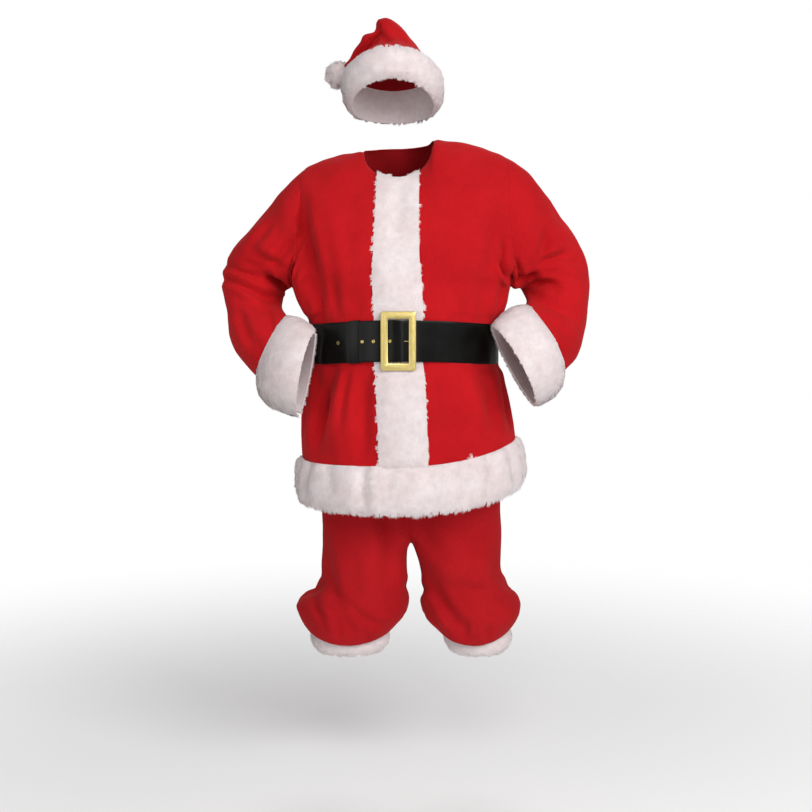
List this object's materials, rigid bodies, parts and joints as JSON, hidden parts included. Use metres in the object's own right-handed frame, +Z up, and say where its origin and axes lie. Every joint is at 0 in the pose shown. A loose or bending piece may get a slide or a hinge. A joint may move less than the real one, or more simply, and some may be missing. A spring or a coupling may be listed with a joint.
{
  "type": "santa suit",
  "caption": "Red plush Santa suit, hollow as worn with hands on hips: belted fur-trimmed jacket, bloused trousers and hat with a pompom.",
  "frame": {"origin": "middle of the base of the neck, where the wearer's shoulders carry the suit", "axes": "+Z up, -Y out of the front, +X to the wearer's left"},
  "size_m": [0.9029, 0.4324, 1.554],
  "materials": {
    "red_plush": "brushed polyester plush, matt with a soft sheen",
    "trouser_plush": "brushed polyester plush, a little deeper red",
    "white_fur": "long-pile faux fur",
    "black_vinyl": "glossy grained vinyl",
    "gold_metal": "polished pale gold plate"
  },
  "bodies": {
    "root": {"jacket_front_right": "red_plush", "jacket_front_left": "red_plush", "jacket_back": "red_plush", "sleeve_right": "red_plush", "sleeve_left": "red_plush", "hat_crown": "red_plush", "cuff_fur_right": "white_fur", "cuff_fur_left": "white_fur", "hem_fur": "white_fur", "front_band_fur": "white_fur", "leg_fur_right": "white_fur", "leg_fur_left": "white_fur", "hat_band_fur": "white_fur", "hat_pompom": "white_fur", "trouser_front_right": "trouser_plush", "trouser_front_left": "trouser_plush", "trouser_back_right": "trouser_plush", "trouser_back_left": "trouser_plush", "trouser_waistband": "trouser_plush", "belt_strap": "black_vinyl", "belt_keeper": "black_vinyl", "belt_buckle": "gold_metal", "belt_prong": "gold_metal", "belt_eyelet_1": "gold_metal", "belt_eyelet_2": "gold_metal", "belt_eyelet_3": "gold_metal", "belt_eyelet_4": "gold_metal"}
  },
  "joints": []
}
